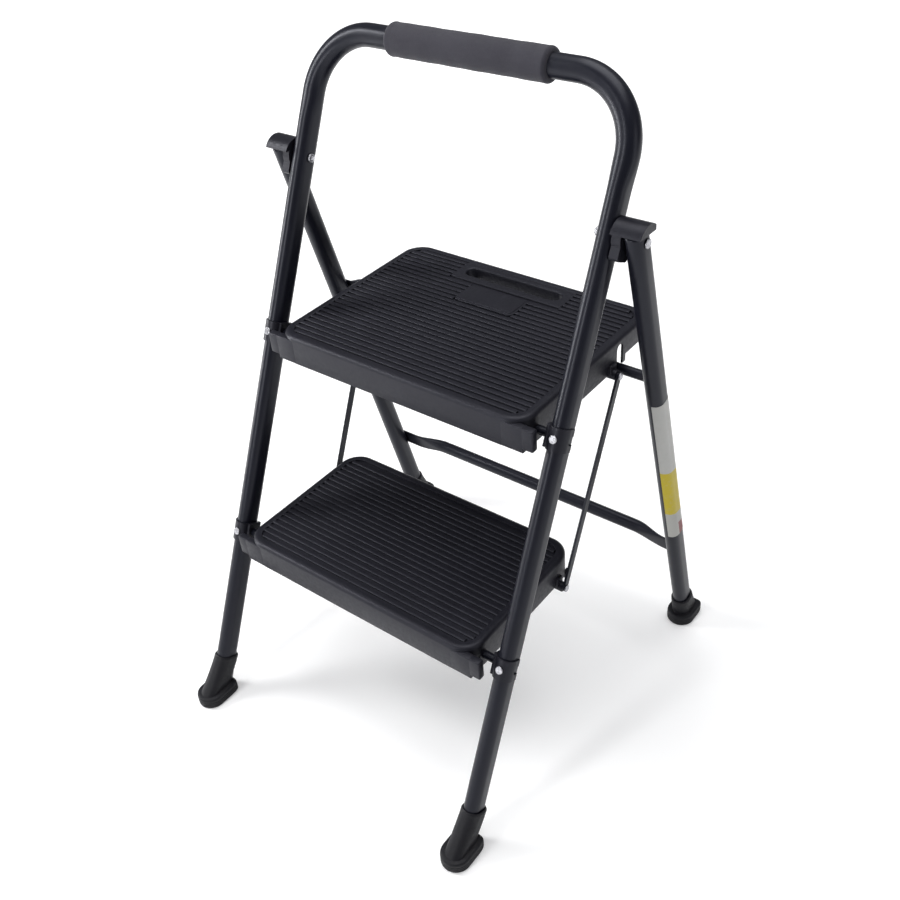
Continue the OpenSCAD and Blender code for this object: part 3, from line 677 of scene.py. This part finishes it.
def rib_end(y, rear):
    """Half length of a rib at y, up to the edge of the recess."""
    r = TREAD_R - RECESS_IN
    past = max(TREAD_FRONT + TREAD_R - y, y - (rear - TREAD_R), 0)
    if past >= r:
        return 0
    return TREAD_HALF - TREAD_R + math.sqrt(r * r - past * past)


def rib(shell, x0, x1, y, top):
    """One bull-nosed rib from x0 to x1."""
    section = [(-RIB_HALF, -RIB_DEPTH)]
    for k in range(7):
        a = math.radians(180 - 90 * k / 6)
        section.append((-RIB_HALF + RIB_NOSE + RIB_NOSE * math.cos(a),
                        -RIB_NOSE + RIB_NOSE * math.sin(a)))
    section += [(-a, b) for a, b in reversed(section)]
    shell.stack([[(x, y + a, top + b) for a, b in section] for x in (x0, x1)])


def skirt_stations(rear, upper):
    """Places along a tread's sides where its outline has points."""
    stations = [TREAD_FRONT + TREAD_R + 0.001, 0.03, 0.06, 0.09, 0.12]
    if not upper:
        return stations + [0.14]
    stations += [BAR.y - NOTCH_R - SLIVER]
    stations += [BAR.y - NOTCH_R * math.cos(math.radians(180 * k / 16)) for k in range(17)]
    stations += [BAR.y + NOTCH_R + SLIVER, LIP_Y - SLIVER, LIP_Y + SLIVER, 0.195]
    return [y for y in stations if y < rear - TREAD_R]


def skirt_edge(upper, by):
    """Height of the skirt's lower edge at (x, y), raised by a little."""
    def bottom(x, y):
        if not upper:
            return SKIRT_Z
        if abs(x) > TREAD_HALF - 0.004 and abs(y - BAR.y) <= NOTCH_R + 1e-6:
            return NOTCH_TOP - NOTCH_R + math.sqrt(max(NOTCH_R ** 2 - (y - BAR.y) ** 2, 0))
        return SKIRT_Z + REAR_LIFT if y > LIP_Y else SKIRT_Z

    return lambda x, y: bottom(x, y) + by


def add_skin(shell, rear, upper):
    """From the plate's underside, down and up the skirt, to the floor of the recess."""
    profile = [(EDGE_IN + SKIRT, TREAD_TOP - PLATE), (SKIRT, TREAD_TOP - EDGE_DOWN - PLATE),
               (SKIRT, skirt_edge(upper, 0.0004)), (SKIRT - 0.0004, skirt_edge(upper, 0)),
               (0.0007, skirt_edge(upper, 0)), (0.0002, skirt_edge(upper, 0.0003)),
               (0.0, skirt_edge(upper, 0.0008))]
    for k in range(9):
        a = math.radians(90 * k / 8)
        profile.append((EDGE_IN * (1 - math.cos(a)),
                        TREAD_TOP - EDGE_DOWN * (1 - math.sin(a))))
    profile += [(RECESS_IN - 0.0008, TREAD_TOP), (RECESS_IN - 0.0002, TREAD_TOP - 0.0003),
                (RECESS_IN, TREAD_TOP - 0.0009), (RECESS_IN, RECESS_Z)]
    stations = skirt_stations(rear, upper)
    rings = shell.stack([tread_outline(rear, i, z, stations) for i, z in profile], closed=False)
    return rings[0], rings[-1]


def add_slot_and_pad(shell, rear, underside, recess):
    """Hand slot in its smooth field, and the raised pad; returns the gaps in the ribs."""
    slot_y, pad_y, field_top = rear - SLOT_BACK, rear - PAD_BACK, TREAD_TOP - 0.000015
    shell.fill(recess, shell.ring(slot_outline(rear, 0.004, RECESS_Z)))
    walls = shell.stack([slot_outline(rear, g, z) for g, z in (
        (SKIRT, TREAD_TOP - PLATE), (SKIRT, TREAD_TOP - SLOT_DEEP),
        (SKIRT - 0.0008, TREAD_TOP - SLOT_DEEP - 0.0006), (0.0006, TREAD_TOP - SLOT_DEEP),
        (0.0, TREAD_TOP - SLOT_DEEP + 0.001), (0.0, TREAD_TOP - 0.0022),
        (0.0003, TREAD_TOP - 0.0010), (0.0010, TREAD_TOP - 0.0003),
        (0.0020, field_top))], closed=False)
    shell.fill(underside, walls[0])
    ends = (-SMOOTH_HALF, SMOOTH_HALF, slot_y - SMOOTH_AHEAD, rear - RECESS_IN + 0.0002)
    sides = shell.stack([
        plain_outline(ends[0] - g, ends[1] + g, ends[2] - g, ends[3] + g, 0.003 + g, z)
        for g, z in ((0, RECESS_Z - 0.0001), (0, TREAD_TOP - 0.0007),
                     (-0.0003, TREAD_TOP - 0.0002), (-0.0008, field_top))], closed=False)
    shell.fill(sides[-1], walls[-1])
    pad = (-PAD_HALF, PAD_HALF, pad_y - PAD_DEEP, pad_y + PAD_DEEP)
    for grow, base, rise in ((PAD_BORDER, RECESS_Z - 0.0001, field_top),
                             (0, TREAD_TOP - 0.0004, TREAD_TOP + PAD_RISE)):
        outline = [(grow, base), (grow, rise - 0.0004), (grow - 0.0003, rise - 0.0001),
                   (grow - 0.0009, rise)]
        shell.stack([plain_outline(pad[0] - g, pad[1] + g, pad[2] - g, pad[3] + g,
                                   PAD_CORNER + g, z) for g, z in outline])
    return [(slot_y - SMOOTH_AHEAD, rear, SMOOTH_HALF),
            (pad_y - PAD_DEEP - PAD_BORDER, pad_y + PAD_DEEP + PAD_BORDER,
             PAD_HALF + PAD_BORDER)]


def add_ribs(shell, rear, gaps):
    y, top = TREAD_FRONT + FIRST_GROOVE + RIB_PITCH / 2, TREAD_TOP - 0.00003
    while y + RIB_HALF < rear - RECESS_IN:
        reach = min(rib_end(y - RIB_HALF, rear), rib_end(y + RIB_HALF, rear)) + 0.00015
        inner = max([h for a, b, h in gaps if a < y < b], default=0) - 0.0003
        if inner > 0:
            rib(shell, -reach, -inner, y, top)
            rib(shell, inner, reach, y, top)
        else:
            rib(shell, -reach, reach, y, top)
        y += RIB_PITCH


def add_webs(shell, rear, upper):
    """Six long webs and the cross webs; the top tread's stop at the slot and the lip."""
    slot_y, front = rear - SLOT_BACK, TREAD_FRONT + WEB_IN
    web_z = BAR.z + BARS["upper_crossbar"][1] / 2 + 0.0003 if upper else SKIRT_Z + 0.004
    roof = TREAD_TOP - PLATE + 0.0005
    for k in range(6):
        x = WEB_FIRST + WEB_PITCH * k
        thick = (x - WEB / 2, x + WEB / 2)
        pieces = [(front, rear - WEB_IN)]
        if upper and abs(x) < SLOT_HALF:
            pieces = [(front, slot_y - SLOT_R - WEB_IN), (slot_y + SLOT_R + WEB_IN, rear - WEB_IN)]
        for a, b in pieces:
            if upper and b > LIP_Y:
                shell.block(thick, (max(a, LIP_Y), b), (max(web_z, SKIRT_Z + REAR_LIFT), roof),
                            WEB_EDGE)
                b = min(b, LIP_Y)
            if b > a:
                shell.block(thick, (a, b), (web_z, roof), WEB_EDGE)
    y = WEB_PITCH
    while y < rear - 0.020:
        if not (upper and abs(y - slot_y) < SLOT_R + 0.002):
            shell.block((WEB_IN - TREAD_HALF, TREAD_HALF - WEB_IN), (y - WEB / 2, y + WEB / 2),
                        (web_z + 0.008, roof), WEB_EDGE)
        y += WEB_PITCH


def add_tube(shell, x0, x1, y, z, r, edge):
    """Round boss along X with rounded ends."""
    outline = [(x0, r - edge), (x0 + edge * 0.3, r - edge * 0.3), (x0 + edge, r),
               (x1 - edge, r), (x1 - edge * 0.3, r - edge * 0.3), (x1, r - edge)]
    shell.stack([[(x, y + a, z + b) for a, b in oval(2 * q, 2 * q, 40)] for x, q in outline])


def add_fittings(shell, upper):
    """Pivot boss, wings at the front corners, strut lugs, and the lower tread's tabs."""
    add_tube(shell, WEB_IN - TREAD_HALF, TREAD_HALF - WEB_IN, 0, 0, ROD_BOSS_R, 0.0002)
    wing = (TREAD_FRONT, TREAD_FRONT + WING_T)
    for side in (-1, 1):
        def span(a, b):
            return tuple(sorted((side * a, side * b)))
        shell.block(span(TREAD_HALF - SKIRT, TREAD_HALF + 0.012), wing, (-0.010, 0.016), 0.0016)
        shell.block(span(TREAD_HALF - TREAD_R, TREAD_HALF), wing,
                    (SKIRT_Z, TREAD_TOP - EDGE_DOWN), 0.0012)
        add_tube(shell, *span(LUG_IN, 0.1817), STRUT_BACK, -STRUT_BELOW, LUG_R, 0.0006)
        shell.block(span(LUG_IN, 0.177), (STRUT_BACK - LUG_R, STRUT_BACK + LUG_R),
                    (-STRUT_BELOW, -STRUT_BELOW + 0.012), 0.0008)
        if not upper:
            shell.block(span(LUG_IN, 0.173), (STRUT_BACK + 0.019, STRUT_BACK + 0.028),
                        (SKIRT_Z - 0.006, SKIRT_Z + 0.003), 0.0007)


def build_tread(name):
    body, depth = TREADS[name]
    upper, shell, rear = name == "top_tread", Shell(), depth + TREAD_FRONT
    pivot = joints[body + "_tilt"]
    underside, recess = add_skin(shell, rear, upper)
    gaps = []
    if upper:
        gaps = add_slot_and_pad(shell, rear, underside, recess)
    else:
        shell.fill(recess)
        shell.fill(underside)
    add_ribs(shell, rear, gaps)
    add_webs(shell, rear, upper)
    add_fittings(shell, upper)

    made = shell.bm
    bmesh.ops.remove_doubles(made, verts=made.verts, dist=1e-6)
    bmesh.ops.recalc_face_normals(made, faces=made.faces)
    for v in made.verts:
        v.co += pivot
    mesh = bpy.data.meshes.new(name)
    made.to_mesh(mesh)
    made.free()
    finish_piece(mesh, name + "_shell", body, TREAD, "tread_plastic", name, sharp=32)


for name in TREADS:
    build_tread(name)

# ---------------------------------------------------------------- small parts

SOFTENED = (
    ("hinge_block_left", "front", BLOCK, "black_plastic", 0.0016),
    ("hinge_block_right", "front", BLOCK, "black_plastic", 0.0016),
    ("hinge_bolts", "front", ZINC, "bright_rivet", 0.0010),
    ("hinge_nuts", "front", ZINC, "bright_rivet", 0.0010),
    ("upper_clip_left", "front", BLOCK, "black_plastic", 0.0005),
    ("upper_clip_right", "front", BLOCK, "black_plastic", 0.0005),
    ("lower_clip_left", "front", BLOCK, "black_plastic", 0.0005),
    ("lower_clip_right", "front", BLOCK, "black_plastic", 0.0005),
    ("clip_rivets", "front", ZINC, "bright_rivet", 0.0009),
    ("upper_pivot_rod", "front", TUBE, "black_tube", 0.0004),
    ("lower_pivot_rod", "front", TUBE, "black_tube", 0.0004),
    ("upper_strut_rivets", "top_step", ZINC, "bright_rivet", 0.0009),
    ("lower_strut_rivets", "lower_step", ZINC, "bright_rivet", 0.0009),
    ("strut_left", "struts", TUBE, "black_tube", 0.0005),
    ("strut_right", "struts", TUBE, "black_tube", 0.0005),
    ("crossbar_rivets", "rear_frame", DARK, "dark_rivet", 0.0009),
    ("blank_label", "rear_frame", STICKER, "label", 0.0001),
)
for node, body, material, slot, width in SOFTENED:
    soften(node + "_shell", body, material, slot, node, width)

# ---------------------------------------------------------------- floor, light and camera


def floor():
    made = bmesh.new()
    bmesh.ops.create_grid(made, x_segments=1, y_segments=1, size=20)
    mesh = bpy.data.meshes.new("floor")
    made.to_mesh(mesh)
    made.free()
    ground = bpy.data.objects.new("floor", mesh)
    bpy.context.scene.collection.objects.link(ground)
    n = Nodes("pale_floor")
    colour = n.blend(n.spread(n.noise(0.6, 2), 0, 1), (0.90, 0.90, 0.90), (0.92, 0.92, 0.92))
    rough = n.spread(n.noise(3, 2), 0.75, 0.85)
    distance = n.add("ShaderNodeVectorMath", operation="LENGTH")
    n.link(n.place, distance.inputs[0])
    n.link(n.spread(distance.outputs["Value"], 0.17, 0.75, (0.9, 2.6)),
           n.bsdf.inputs["Emission Strength"])
    mesh.materials.append(n.finish(colour, rough, n.bump(n.noise(40), 0.0002, 0.05),
                                   Specular_IOR_Level=0.1, Emission_Color=(1, 1, 1, 1)))


def area_light(name, at, aim, length, power, width):
    data = bpy.data.lights.new(name, "AREA")
    data.shape = "RECTANGLE"
    data.size, data.size_y, data.energy = width, length, power
    light = bpy.data.objects.new(name, data)
    bpy.context.scene.collection.objects.link(light)
    light.location = at
    light.rotation_mode = "QUATERNION"
    light.rotation_quaternion = (Vector(aim) - Vector(at)).to_track_quat("-Z", "Y")


floor()
world = bpy.data.worlds.new("studio")
bpy.context.scene.world = world
world.use_nodes = True
backdrop = world.node_tree.nodes["Background"].inputs
backdrop["Color"].default_value = (0.93, 0.94, 1.0, 1)
backdrop["Strength"].default_value = 0.22
middle = (cad_low + cad_high) / 2
# name, place from the middle of the stool, length, watts, width
LIGHTS = (("strip_left", (-1.9, -0.9, 0.9), 2.4, 54, 0.42),
          ("strip_front", (-0.5, -2.4, 1.0), 2.0, 26, 0.35),
          ("side_right", (2.3, 0.2, 0.8), 1.6, 6, 0.9),
          ("overhead", (0.0, 0.5, 2.3), 1.8, 34, 1.8))
for name, place, length, power, width in LIGHTS:
    area_light(name, middle + Vector(place), middle, length, power, width)
sky = bpy.data.lights.new("even_sky", "SUN")
sky.energy, sky.angle = 0.7, math.radians(60)
bpy.context.scene.collection.objects.link(bpy.data.objects.new("even_sky", sky))

CAMERA_AZIMUTH, CAMERA_ELEVATION, CAMERA_ROLL = (math.radians(a) for a in (40.47, 37.58, -4.92))
CAMERA_DISTANCE, CAMERA_RIGHT, CAMERA_UP = 1.2152, 0.0324, -0.0443
CAMERA_LENS, CAMERA_SHIFT = 42.18, (0.0012, 0.0062)


def camera():
    a, e, roll = CAMERA_AZIMUTH, CAMERA_ELEVATION, CAMERA_ROLL
    back = Vector((math.sin(a) * math.cos(e), -math.cos(a) * math.cos(e), math.sin(e)))
    flat = Vector((math.cos(a), math.sin(a), 0))
    rise = back.cross(flat)
    right = flat * math.cos(roll) + rise * math.sin(roll)
    up = rise * math.cos(roll) - flat * math.sin(roll)
    data = bpy.data.cameras.new("photo_view")
    data.lens, data.sensor_width = CAMERA_LENS, 36
    data.shift_x, data.shift_y = CAMERA_SHIFT
    data.clip_start, data.clip_end = 0.05, 60
    eye = bpy.data.objects.new("photo_view", data)
    bpy.context.scene.collection.objects.link(eye)
    turn = Matrix((right, up, back)).transposed().to_4x4()
    spot = middle + back * CAMERA_DISTANCE + right * CAMERA_RIGHT + up * CAMERA_UP
    eye.matrix_world = Matrix.Translation(spot) @ turn
    bpy.context.scene.camera = eye


camera()
bpy.context.scene.view_settings.view_transform = "Standard"
